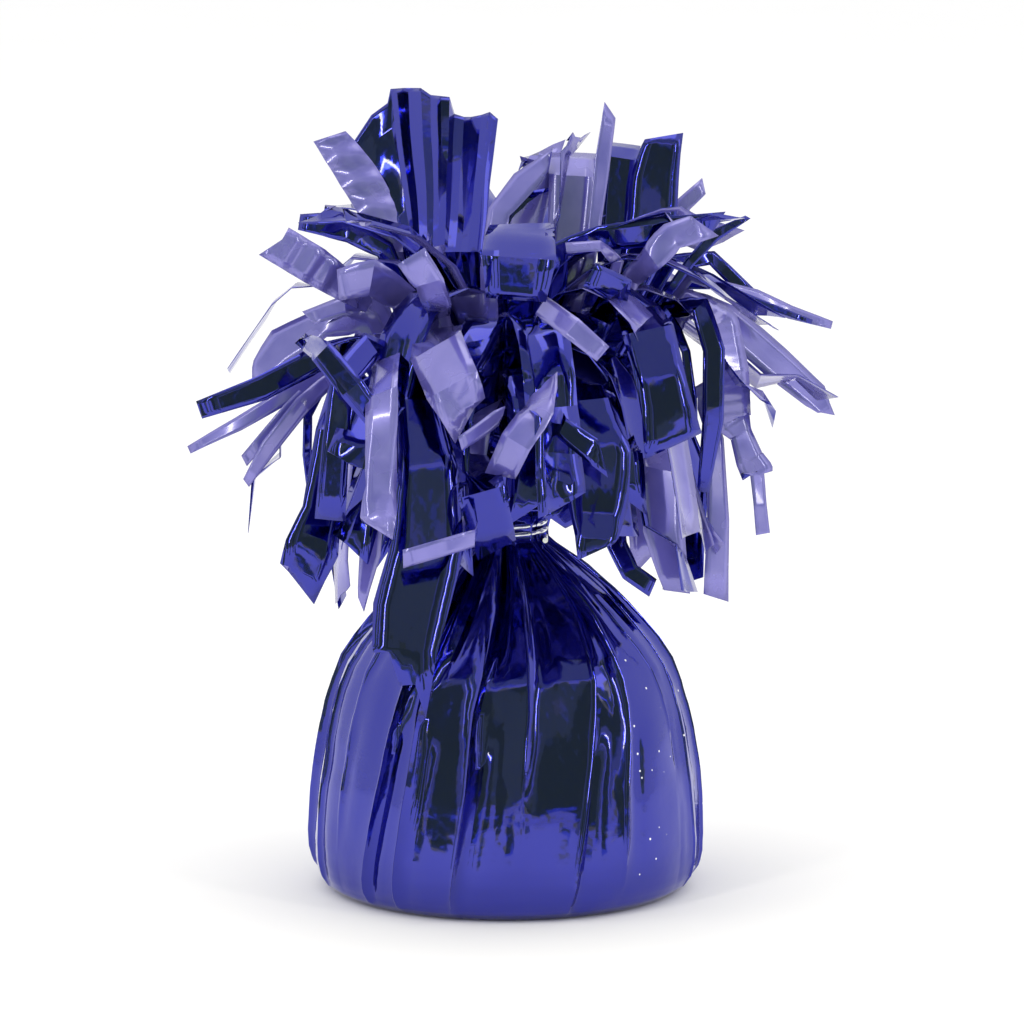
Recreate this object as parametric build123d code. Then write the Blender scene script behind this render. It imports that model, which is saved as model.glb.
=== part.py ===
"""Foil-wrapped balloon weight with a slit-film fringe.

A squat jar of sand, closed by a push-in cap, stands in a sheet of metallised film. The sheet is drawn up
round the jar and gathered into a neck, which a wire tie holds. Above the tie the sheet is slit into strips:
six bunches that bend at the tie and spread to every side, and a crown that stands upright in the middle.

Millimetres and degrees. The origin is the middle of the base on the floor, +Z is up and -Y is the front.
"""

import math
import os
import random

from build123d import *

# Jar: a tapered drum with a rounded foot and shoulder and a round mouth in its top
jar_base_radius = 32.3
jar_side_radius = 27.4
jar_height = 46.0
jar_wall = 1.1
jar_foot_round = 6.0
jar_shoulder_round = 18.0
mouth_radius = 8.0

# Cap pushed into the jar's mouth
cap_flange_radius = 10.0
cap_flange_thick = 1.4
cap_plug_depth = 4.0
cap_wall = 1.2
cap_clearance = 0.06

# Sand inside the jar
fill_gap = 0.15
fill_level_share = 0.9

# Film: the thickness that stands in for the thin sheet, and how it lies on the jar and pleats
film_thick = 0.3
wrap_slack = 0.45
pleat_depth = 1.5
neck_rise = 11.5

# The film up the jar: angles on the foot's and the shoulder's rounding with a share of the slack, and of the
# pleat depth, then the puffed film up to the neck as shares of its rise, its run and the pleat depth
foot_angles = (-75, -45, -15)
foot_slack_shares = (0.0, 0.5, 1.0)
foot_pleat_shares = (0.0, 0.1, 0.35)
side_pleat_share = 0.55
shoulder_angles = (6, 25, 45)
shoulder_pleat_shares = (0.75, 0.95, 1.0)
puff_rise_shares = (0.45, 0.72, 0.92)
puff_run_shares = (0.67, 0.46, 0.18)
puff_pleat_shares = (0.95, 1.0, 0.8)
neck_pleat_share = 0.4

# Creases round the wrap, each with its azimuth at the neck and at the floor, from the front to the right,
# and its share of the pleat depth. Beside each crease the film dips, then rises again to the next
creases = (
    (-78, -74, 0.4),
    (-62, -60, 0.3),
    (-34, -47, 0.8),
    (-24, -35, 0.75),
    (-4, -16.5, 1.0),
    (12, 3, 0.4),
    (37, 19, 0.95),
    (47, 36, 0.7),
    (62, 54, 0.3),
    (78, 73, 0.45),
    (92, 88, 0.8),
    (105, 107, 0.5),
    (121, 118, 1.0),
    (132, 137, 0.3),
    (148, 150, 0.8),
    (163, 158, 0.55),
    (175, 178, 1.0),
    (191, 190, 0.3),
    (204, 209, 0.8),
    (220, 217, 0.55),
    (232, 236, 1.0),
    (248, 247, 0.35),
    (262, 266, 0.8),
)
dip_span_share = 0.16
dip_depth_share = 0.5
rise_span_share = 0.58

# Gathered neck and the wire tie round it
neck_radius = 6.0
neck_foot_radius = 7.2
neck_top_radius = 8.4
neck_height = 7.0
tie_wire_diameter = 0.9
tie_turns = 2
tie_pitch = 1.35
tie_clearance = 0.15
tie_tail = 4.5
tie_samples = 12

# Roots of the bunches, which roll on the neck's top, and the root of the crown
root_gap = 0.3
root_shank = 0.9
crown_root_radius = 3.2
crown_root_gap = 0.5
wedge_gap = 0.8

# Fringe: strips slit from the sheet, set out in wedges round the neck and stacked in layers
strip_width = 7.2
strip_thick = 0.25
bunch_names = ("right", "back_right", "back_left", "left", "front_left", "front_right")
wedges_per_bunch = 2
overrun = 1.0

# Layers from the outermost to the innermost. A strip stands up for its stem, bends outwards round its bend
# radius through its turn and ends in a straight tail
layer_stems = (6.0, 12.0, 18.0, 22.0, 22.0, 26.0)
layer_bends = (9.0, 11.0, 14.0, 18.0, 24.0, 40.0)
layer_turns = (158.0, 162.0, 154.0, 124.0, 84.0, 42.0)
layer_tails = (20.0, 32.0, 32.0, 24.0, 15.0, 15.0)
tier_names = ("lower", "middle", "upper")

# At the front the inner layers bend tighter and turn further over, and hang in front of the outer ones. Each
# wedge, from the right round by the back, takes a share of that
front_bends = (9.0, 11.0, 14.0, 16.0, 19.0, 24.0)
front_turns = (158.0, 162.0, 154.0, 150.0, 138.0, 112.0)
wedge_front_shares = (0.0, 0.0, 0.0, 0.0, 0.0, 0.0, 0.0, 0.0, 0.8, 1.0, 1.0, 0.8)

# Length of the tails in each wedge, from the right round by the back: the strips at the front are cut shorter
wedge_tail_shares = (1.0, 1.0, 1.0, 1.0, 1.0, 1.0, 1.0, 1.0, 0.95, 0.65, 0.65, 0.95)

# Strips that lie apart from their layer, by wedge and layer: turn, tail and fold
lone_strips = {
    (1, 2): (124.0, 32.0, 4.0),
    (1, 3): (108.0, 26.0, 8.0),
    (7, 2): (122.0, 33.0, 4.0),
    (7, 3): (110.0, 27.0, 6.0),
    (9, 1): (162.0, 20.0, 4.0),
    (9, 2): (164.0, 54.0, 0.0),
}

# How unevenly the strips were slit and how differently they lie
scatter_seed = 11
scatter_turn = 6.0
scatter_azimuth = 4.0
scatter_stem_share = 0.12
scatter_bend_share = 0.10
scatter_tail_share = 0.20
scatter_width_share = 0.25
scatter_twist = 34.0
scatter_fold = 26.0
scatter_layer_twist = 7.0

# A strip's bend is walked in steps of about this angle. It twists from a share of its bend on, and its tail
# is folded across at a share of its length, in full where the bend has made its full turn
bend_step_angle = 30.0
twist_start_share = 0.45
fold_place_share = 0.4
fold_full_turn = 160.0

# Fan: the pleated film, left whole, that stands as the innermost layer of one bunch
fan_bunch = "back_left"
fan_width = 29.0
fan_pleats = 7
fan_pleat_depth = 3.0
fan_stem = 24.0
fan_bend = 40.0
fan_turn = 50.0
fan_tail = 12.0

# Crown: single strips that stand upright in the middle
crown_azimuths = (-52.0, 40.0, 128.0, 226.0)
crown_stems = (30.0, 32.0, 28.0, 26.0)
crown_bends = (60.0, 70.0, 60.0, 50.0)
crown_turns = (22.0, 14.0, 18.0, 26.0)
crown_tail = 9.0
crown_stand_share = 0.7

out_dir = "parts"


# Places worked out from the sizes above
jar_lean = math.atan((jar_base_radius - jar_side_radius) / jar_height)
jar_floor = film_thick
jar_top = jar_floor + jar_height
neck_foot = jar_top + neck_rise
neck_top = neck_foot + neck_height
tie_height = neck_foot + neck_height / 2
root_inner_radius = crown_root_radius + crown_root_gap
root_roll = (neck_top_radius - root_inner_radius) / 2
hinge_radius = root_inner_radius + root_roll
hinge_height = neck_top + root_gap + root_roll
root_top = hinge_height + root_shank
bunch_angle = 360 / len(bunch_names)
wedge_angle = bunch_angle / wedges_per_bunch
layer_count = len(layer_turns)
layer_pitch = (2 * root_roll - strip_thick) / layer_count
reach_limit = 4 * jar_base_radius


def round_centre(radius, at_foot):
    """Centre, in radius and height above the jar's floor, of the rounding at the jar's foot or shoulder."""
    height = radius if at_foot else jar_height - radius
    side = jar_base_radius - height * math.tan(jar_lean)
    return side - radius / math.cos(jar_lean), height


def drum(inset, top):
    """The jar's outside shape, drawn in by a wall and cut off at a height above the jar's floor."""
    foot = jar_foot_round - inset
    shoulder = jar_shoulder_round - inset
    slant = inset / math.cos(jar_lean)
    low = (jar_base_radius - inset * math.tan(jar_lean) - slant, inset)
    high = (jar_side_radius + inset * math.tan(jar_lean) - slant, jar_height - inset)
    rim = FilletPolyline((0, inset), low, high, (0, high[1]), radius=[foot, shoulder])
    outline = rim + Line((0, high[1]), (0, inset))
    solid = revolve(Plane.XZ * make_face(outline), Axis.Z)
    return Pos(0, 0, jar_floor) * (solid & disc(reach_limit, 0, top))


def disc(radius, bottom, top):
    """Upright cylinder between two heights."""
    return Pos(0, 0, bottom) * Cylinder(radius, top - bottom, align=(Align.CENTER, Align.CENTER, Align.MIN))


def make_jar():
    """Blow-moulded jar, open at its mouth."""
    mouth = disc(mouth_radius, jar_top - 2 * jar_wall, jar_top + overrun)
    return drum(0, jar_height) - drum(jar_wall, jar_height) - mouth


def make_cap():
    """Cap with a flange that rests on the jar's top and a hollow plug in the mouth."""
    plug_radius = mouth_radius - cap_clearance
    plug_bottom = jar_top - cap_plug_depth
    flange = disc(cap_flange_radius, jar_top, jar_top + cap_flange_thick)
    plug = disc(plug_radius, plug_bottom, jar_top)
    return flange + plug - disc(plug_radius - cap_wall, plug_bottom - overrun, jar_top)


def make_sand():
    """The sand, level below the cap's plug."""
    level = fill_level_share * (jar_height - jar_wall - cap_plug_depth)
    return drum(jar_wall + fill_gap, level)


def ring(radius, height, depth):
    """Closed creased ring: each crease stands out, dips beside itself and runs on to the next."""
    level = max(0.0, min(1.0, height / jar_top))
    azimuths = [foot + level * (top - foot) for top, foot, share in creases]
    points = []
    for i, (top, foot, share) in enumerate(creases):
        start = azimuths[i]
        span = (azimuths[(i + 1) % len(creases)] - start) % 360
        stands = depth * share
        rests = dip_depth_share * stands
        for along, out in ((0, rests + stands), (dip_span_share, 0), (rise_span_share, rests)):
            angle = math.radians(start + along * span - 90)
            reach = radius + out
            points.append(Vector(reach * math.cos(angle), reach * math.sin(angle), height))
    return Wire.make_polygon(points, close=True)


def pleated(places):
    """Solid between pleated rings, each given as its radius, height and depth of pleat."""
    return Solid.make_loft([ring(*place) for place in places], ruled=True)


def wrap_ring(round_radius, at_foot, angle, slack, grow):
    """Radius and height of the film's outside at an angle on one of the jar's roundings."""
    centre_radius, centre_height = round_centre(round_radius, at_foot)
    reach = (round_radius + film_thick + slack) * grow
    turn = math.radians(angle)
    return centre_radius + reach * math.cos(turn), jar_floor + centre_height + reach * math.sin(turn)


def wrap_outline():
    """Rings of the wrap's outside from the floor to the neck: radius, height and depth of the pleats."""
    half_step = math.radians(foot_angles[1] - foot_angles[0]) / 2
    rings = []
    for angle, slack, share in zip(foot_angles, foot_slack_shares, foot_pleat_shares):
        place = wrap_ring(jar_foot_round, True, angle, slack * wrap_slack, 1 / math.cos(half_step))
        rings.append((*place, share * pleat_depth))
    low = rings[-1]
    shoulder = []
    for angle, share in zip(shoulder_angles, shoulder_pleat_shares):
        place = wrap_ring(jar_shoulder_round, False, angle, wrap_slack, 1)
        shoulder.append((*place, share * pleat_depth))
    high = shoulder[0]
    rings.append(((low[0] + high[0]) / 2, (low[1] + high[1]) / 2, side_pleat_share * pleat_depth))
    rings += shoulder
    start = shoulder[-1]
    for rise, run, share in zip(puff_rise_shares, puff_run_shares, puff_pleat_shares):
        radius = neck_foot_radius + run * (start[0] - neck_foot_radius)
        rings.append((radius, start[1] + rise * (neck_foot - start[1]), share * pleat_depth))
    rings.append((neck_foot_radius, neck_foot, neck_pleat_share * pleat_depth))
    return rings


def make_wrap():
    """The sheet round the jar: an open-topped bag whose rim meets the neck."""
    outside = wrap_outline()
    half_step = math.radians(foot_angles[1] - foot_angles[0]) / 2
    inside = [(outside[0][0] - film_thick * math.tan(half_step), film_thick, 0.0)]
    for before, here, after in zip(outside, outside[1:], outside[2:]):
        run, rise = after[0] - before[0], after[1] - before[1]
        size = math.hypot(run, rise)
        inside.append((here[0] - film_thick * rise / size, here[1] + film_thick * run / size, here[2]))
    rim = outside[-1]
    inside.append((rim[0] - 2 * film_thick, rim[1], rim[2]))
    inside.append((rim[0] - 2 * film_thick, rim[1] + overrun, rim[2]))
    return pleated(outside) - pleated(inside)


def make_neck():
    """The gathered film: a pleated stalk, waisted where the tie holds it."""
    waist = (tie_turns + 1) * tie_pitch
    places = (
        (neck_foot_radius, neck_foot, neck_pleat_share * pleat_depth),
        (neck_radius, tie_height - waist / 2, 0),
        (neck_radius, tie_height + waist / 2, 0),
        (neck_top_radius, neck_top, 0),
    )
    return pleated(places)


def biarc(start, end, leave, arrive):
    """Two arcs that meet smoothly between two points with a heading at each."""
    span = end - start
    both = leave + arrive
    spread = 2 * (1 - leave.dot(arrive))
    arm = (math.sqrt(span.dot(both) ** 2 + spread * span.dot(span)) - span.dot(both)) / spread
    middle = (start + end + arm * (leave - arrive)) / 2
    first = TangentArc(start, middle, tangent=leave)
    return [first, TangentArc(middle, end, tangent=first % 1)]


def make_tie():
    """Wire wound round the neck, with both ends standing out."""
    reach = neck_radius + tie_clearance + tie_wire_diameter / 2
    low = tie_height - tie_turns * tie_pitch / 2
    climb = tie_pitch / (2 * math.pi * reach)

    def wound(quarters):
        angle = math.pi / 2 * quarters
        return Vector(reach * math.cos(angle), reach * math.sin(angle), low + tie_pitch * quarters / 4)

    def heading(quarters):
        angle = math.pi / 2 * quarters
        return Vector(-math.sin(angle), math.cos(angle), climb).normalized()

    quarters = 4 * tie_turns
    half_turn = 2 * tie_samples
    points = [wound(i / tie_samples) for i in range(quarters * tie_samples + 1)]
    spans = ((here - there).length for i, here in enumerate(points) for there in points[i + half_turn :])
    print(f"wire tie: least gap to itself {min(spans) - tie_wire_diameter:.2f} mm")
    turns = []
    for quarter in range(quarters):
        turns += biarc(wound(quarter), wound(quarter + 1), heading(quarter), heading(quarter + 1))
    lead_in = Line(points[0] - tie_tail * heading(0), points[0])
    lead_out = Line(points[-1], points[-1] + tie_tail * heading(quarters))
    route = Wire([lead_in, *turns, lead_out])
    return sweep(Plane(lead_in @ 0, z_dir=lead_in % 0) * Circle(tie_wire_diameter / 2), path=route)


def make_root(azimuth):
    """Root of a bunch: the gathered film at its fold, round below so that it rolls on the neck's top."""
    low = (hinge_radius - root_roll, hinge_height)
    high = (hinge_radius + root_roll, hinge_height)
    shank = Polyline(low, (low[0], root_top), (high[0], root_top), high)
    roll = ThreePointArc(high, (hinge_radius, hinge_height - root_roll), low)
    bar = extrude(Plane.XZ * make_face(shank + roll), neck_top_radius, both=True)
    return Rot(0, 0, azimuth) * (bar & wedge_prism(bunch_angle))


def strip_route(root_radius, stem, bend, turn, tail, twist=0.0, fold=0.0):
    """Radius, height, heading and twist from the root by the stem, the bend and the fold to the tip."""
    shoulder = root_top + stem
    steps = max(2, round(turn / bend_step_angle))
    places = [(root_radius, root_top, 0.0, 0.0), (root_radius, shoulder, 0.0, 0.0)]
    for i in range(1, steps + 1):
        heading = math.radians(turn * i / steps)
        late = max(0.0, (i / steps - twist_start_share) / (1 - twist_start_share))
        radius = root_radius + bend * (1 - math.cos(heading))
        height = shoulder + bend * math.sin(heading)
        places.append((radius, height, heading, math.radians(twist * late / 2)))
    for share, bent in ((fold_place_share, fold), (1 - fold_place_share, 0.0)):
        radius += share * tail * math.sin(heading)
        height += share * tail * math.cos(heading)
        turned = math.radians(twist * (0.75 if bent else 1))
        places.append((radius, height, heading + math.radians(bent / 2), turned))
        heading += math.radians(bent)
    return places


def beside(place, offset):
    """Point beside a route's place: a positive offset lies on the side that the strip bends to."""
    radius, height, heading = place[:3]
    return radius + offset * math.cos(heading), height - offset * math.sin(heading)


def wedge_prism(angle):
    """Upright wedge about +X that keeps what it holds clear of its neighbours."""
    half = math.radians(angle / 2)
    apex = wedge_gap / 2 / math.sin(half)
    far = reach_limit
    side = (far - apex) * math.tan(half)
    return extrude(make_face(Polyline((apex, 0), (far, side), (far, -side), close=True)), 2 * far)


def strip_section(place, angle, width):
    """Corners of a strip across a place on its route, as wide as its wedge lets it be there."""
    half = math.radians(angle / 2)
    twist = place[3]
    inner = place[0] - width / 2 * abs(math.sin(twist))
    room = 2 * inner * math.tan(half) - wedge_gap / math.cos(half)
    reach = min(width, max(room, strip_thick)) / 2
    corners = []
    for across, off in ((-reach, -1), (reach, -1), (reach, 1), (-reach, 1)):
        depth = off * strip_thick / 2
        side = across * math.cos(twist) - depth * math.sin(twist)
        radius, height = beside(place, across * math.sin(twist) + depth * math.cos(twist))
        corners.append(Vector(radius, side, height))
    return corners


def make_strip(azimuth, angle, route, width):
    """Strip along a route in the upright plane at an azimuth, within a wedge of an angle."""
    sections = [strip_section(place, angle, width) for place in route]
    faces = [Face(Wire.make_polygon(ends, close=True)) for ends in (sections[0], sections[-1])]
    for before, after in zip(sections, sections[1:]):
        for i in range(4):
            low = Edge.make_line(before[i - 1], before[i])
            high = Edge.make_line(after[i - 1], after[i])
            faces.append(Face.make_surface_from_curves(low, high))
    return Rot(0, 0, azimuth) * Solid(Shell(faces))


def make_bunch(index):
    """The strips of one bunch by tier: in each wedge the layers stack outwards on the bunch's root."""
    draw = random.Random(scatter_seed + index)
    strips = {tier: [] for tier in tier_names}
    for wedge in range(wedges_per_bunch):
        tail_share = wedge_tail_shares[wedges_per_bunch * index + wedge]
        front_share = wedge_front_shares[wedges_per_bunch * index + wedge]
        middle = bunch_angle * index + wedge_angle * (wedge - (wedges_per_bunch - 1) / 2)
        stem_scale = 1 + draw.uniform(-1, 1) * scatter_stem_share
        bend_scale = 1 + draw.uniform(-1, 1) * scatter_bend_share
        wedge_twist = draw.uniform(-1, 1) * scatter_twist
        wedge_fold = draw.uniform(-1, 1) * scatter_fold
        for layer in range(layer_count):
            turn = layer_turns[layer] + front_share * (front_turns[layer] - layer_turns[layer])
            turn += draw.uniform(-1, 1) * scatter_turn
            tail = layer_tails[layer] * tail_share * (1 + draw.uniform(-1, 1) * scatter_tail_share)
            shift = draw.uniform(-1, 1) * scatter_azimuth
            width = strip_width * (1 + draw.uniform(-1, 1) * scatter_width_share)
            twist = wedge_twist + draw.uniform(-1, 1) * scatter_layer_twist
            if bunch_names[index] == fan_bunch and layer == layer_count - 1:
                continue
            place = wedges_per_bunch * index + wedge, layer
            turn, tail, fold = lone_strips.get(place, (turn, tail, wedge_fold * turn / fold_full_turn))
            stem = stem_scale * layer_stems[layer]
            bend = bend_scale * (layer_bends[layer] + front_share * (front_bends[layer] - layer_bends[layer]))
            route = strip_route(layer_radius(layer), stem, bend, turn, tail, twist, fold)
            strip = make_strip(middle + shift, wedge_angle - 2 * abs(shift), route, width)
            strips[tier_names[layer * len(tier_names) // layer_count]].append(strip)
    return strips


def layer_radius(layer):
    """Radius at which a layer stands on its bunch's root."""
    return neck_top_radius - strip_thick / 2 - layer_pitch * (layer + 0.5)


def make_fan(azimuth):
    """Pleated fan: a zigzag sheet that widens from its root as its bunch's sector does."""
    route = strip_route(layer_radius(layer_count - 1), fan_stem, fan_bend, fan_turn, fan_tail)
    half = math.radians(bunch_angle / 2)
    rings = []
    for place in route:
        radius = place[0]
        room = 2 * (radius * math.tan(half) - wedge_gap / math.cos(half))
        width = min(fan_width, room)
        depth = fan_pleat_depth * width / fan_width
        front, back = [], []
        for i in range(2 * fan_pleats + 1):
            side = width * (i / (2 * fan_pleats) - 0.5)
            fold = depth / 2 if i % 2 else -depth / 2
            for points, offset in ((front, fold - strip_thick / 2), (back, fold + strip_thick / 2)):
                r, z = beside(place, offset)
                points.append(Vector(r, side, z))
        rings.append(Wire.make_polygon(front + back[::-1], close=True))
    return Rot(0, 0, azimuth) * Solid.make_loft(rings, ruled=True)


def make_crown():
    """Strips that stand on the crown's root, each in its own quarter."""
    strips = []
    quarter = 360 / len(crown_azimuths)
    for azimuth, stem, bend, turn in zip(crown_azimuths, crown_stems, crown_bends, crown_turns):
        route = strip_route(crown_stand_share * crown_root_radius, stem, bend, turn, crown_tail)
        strips.append(make_strip(azimuth, quarter, route, strip_width))
    return strips


def main():
    os.makedirs(out_dir, exist_ok=True)
    nodes = {
        "weight_jar": make_jar(),
        "jar_cap": make_cap(),
        "sand_fill": make_sand(),
        "foil_wrap": make_wrap(),
        "foil_neck": make_neck(),
        "wire_tie": make_tie(),
        "crown_root": disc(crown_root_radius, neck_top, root_top),
        "crown_strips": Compound(make_crown()),
    }
    for index, name in enumerate(bunch_names):
        nodes[f"{name}_root"] = make_root(bunch_angle * index)
        for tier, strips in make_bunch(index).items():
            nodes[f"{name}_{tier}_strips"] = Compound(strips)
        if name == fan_bunch:
            nodes[f"{name}_fan"] = make_fan(bunch_angle * index)
    for name, shape in nodes.items():
        export_step(shape, os.path.join(out_dir, f"{name}.step"))


if __name__ == "__main__":
    main()
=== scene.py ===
"""Looks of the foil-wrapped balloon weight: the creased film wrap, the slit fringe, the fan and the studio.

Metres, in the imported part's frame: the origin is the middle of the base, +Z is up and -Y is the front.
"""

import math
import random

import bpy
from mathutils import Matrix, Vector, noise


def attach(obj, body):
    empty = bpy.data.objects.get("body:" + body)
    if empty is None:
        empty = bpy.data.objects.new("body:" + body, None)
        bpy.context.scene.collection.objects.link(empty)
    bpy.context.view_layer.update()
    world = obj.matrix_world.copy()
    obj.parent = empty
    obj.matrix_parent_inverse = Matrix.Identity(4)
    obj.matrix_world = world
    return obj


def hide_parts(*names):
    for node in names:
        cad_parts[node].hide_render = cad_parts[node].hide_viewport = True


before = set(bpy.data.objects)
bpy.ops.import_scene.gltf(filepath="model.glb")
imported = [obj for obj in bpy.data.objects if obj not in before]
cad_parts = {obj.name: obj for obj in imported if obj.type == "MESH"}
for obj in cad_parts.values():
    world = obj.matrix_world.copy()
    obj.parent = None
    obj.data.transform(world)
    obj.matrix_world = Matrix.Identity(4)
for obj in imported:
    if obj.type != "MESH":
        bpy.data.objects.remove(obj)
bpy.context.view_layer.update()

mm = 0.001

# The photograph: its size, the weight's axis and foot in it, and a pixel's width at the axis
photo_size = 1024
axis_px = 506
foot_py = 887
pixel = 0.1684 * mm
camera_reach = 1.0
camera_height_angle = math.radians(9)
sensor_width = 36.0

# Film
film_thickness = 0.1 * mm
film_colour = (0.012, 0.017, 0.32, 1)
back_colours = ((0.12, 0.11, 0.46, 1), (0.2, 0.18, 0.59, 1))
film_looks = {
    "Base Color": film_colour,
    "Metallic": 1.0,
    "Specular Tint": (0.45, 0.45, 0.8, 1),
    "Coat Weight": 0.9,
    "Coat Roughness": 0.04,
    "Coat IOR": 1.55,
}
back_looks = {"Metallic": 0.35, "Coat Weight": 1.0, "Coat Roughness": 0.1, "Coat IOR": 1.7}
# Painted glints: white flecks on the wrap's right flank that stand for lamp glints on the crinkled film.
# Their colour, the distances right of the axis over which they come in, and the spot distances over which
# white turns to film
painted_glint_colour = (0.92, 0.92, 1.0, 1)
painted_glint_edges = (14 * mm, 18 * mm)
painted_glint_rim = (0.06, 0.09)
film_wave = 0.12 * mm
film_facet = 0.02 * mm
crease_angle = math.radians(26)
strip_width = 7.2 * mm

# The jar, the sand and the wire: colour and its darker spots, then roughness, scale and height of the grain
plastic_colours = ((0.82, 0.83, 0.84, 1), (0.76, 0.77, 0.78, 1))
plastic_grain = (0.35, 60.0, 0.05 * mm)
sand_colours = ((0.72, 0.6, 0.42, 1), (0.4, 0.31, 0.2, 1))
sand_grain = (0.95, 2500.0, 0.3 * mm)
wire_looks = {"Base Color": (0.78, 0.79, 0.82, 1), "Metallic": 1.0}

# The neck and the roots of the fringe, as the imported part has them
root_top = 68.35 * mm
neck_top_radius = 8.4 * mm
root_reach = 4.7 * mm
root_depth = 3 * mm

# Fringe: for each layer, from the outermost in, the stem, bend radius, turn in degrees and tail of a strip
bunch_names = ("right", "back_right", "back_left", "left", "front_left", "front_right")
tiers = ("lower", "middle", "upper")
bunch_angle = 60
wedge_angle = 30
layer_stems = (6, 12, 18, 22, 22, 26)
layer_bends = (9, 11, 14, 18, 24, 40)
layer_turns = (158, 162, 154, 124, 84, 42)
layer_tails = (20, 32, 32, 24, 15, 15)
wedge_tail_shares = (1.0, 1.0, 1.0, 1.0, 1.0, 1.0, 1.0, 1.0, 0.95, 0.65, 0.65, 0.95)
front_bends = (9, 11, 14, 16, 19, 24)
front_turns = (158, 162, 154, 150, 138, 112)
wedge_front_shares = (0.0, 0.0, 0.0, 0.0, 0.0, 0.0, 0.0, 0.0, 0.8, 1.0, 1.0, 0.8)

# Strips that lie apart from their layer, by wedge and layer: turn, tail and fold
lone_strips = {
    (0, 2): (154, 20, 0), (0, 3): (124, 14, 0), (1, 0): (148, 16, 6), (1, 2): (124, 32, 4),
    (1, 3): (122, 15, 0), (1, 5): (46, 4, 0), (3, 5): (42, 4, 0), (6, 4): (84, 5, 0),
    (6, 5): (24, 4, 0), (7, 4): (84, 4, 0), (9, 1): (162, 20, 4), (10, 0): (158, 8, 4),
    (10, 1): (162, 15, 2),
}

# The layers that each wedge has, and the share of a bunch's strips that show the violet face
kept_layers = (
    (0, 1, 2, 3, 4), (0, 1, 2, 3, 4, 5), (0, 1, 2, 3, 4, 5), (0, 1, 2, 3, 4, 5),
    (0, 1, 2, 3, 4), (0, 1, 2, 3, 4), (0, 1, 2, 3, 4, 5), (0, 1, 4),
    (0, 1, 2), (0, 1), (0, 1, 2), (0, 1, 2),
)
violet_shares = (0.6, 0.6, 0.6, 0.6, 0.95, 0.95)

# How differently the strips of a bunch lie
scatter_seed = 11
scatter_stem = 0.12
scatter_bend = 0.10
scatter_turn = 6
scatter_tail = 0.2
scatter_azimuth = 4
scatter_width = 0.25
scatter_twist = 34
scatter_layer_twist = 7
scatter_fold = 26
full_turn = 160

# Small bends of single strips, in degrees where they are angles
loose_seed = 100
loose_wildness = 0.9
bend_step = 22
swing_reach = 14
twist_start = 0.45
twist_span = 0.55
tail_steps = 5
kink_reach = (30, 60)
roll_reach = 35

# Short strips in the heart of a bunch
core_seed = 40
core_strips = 12
core_wildness = 1.5

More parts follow.
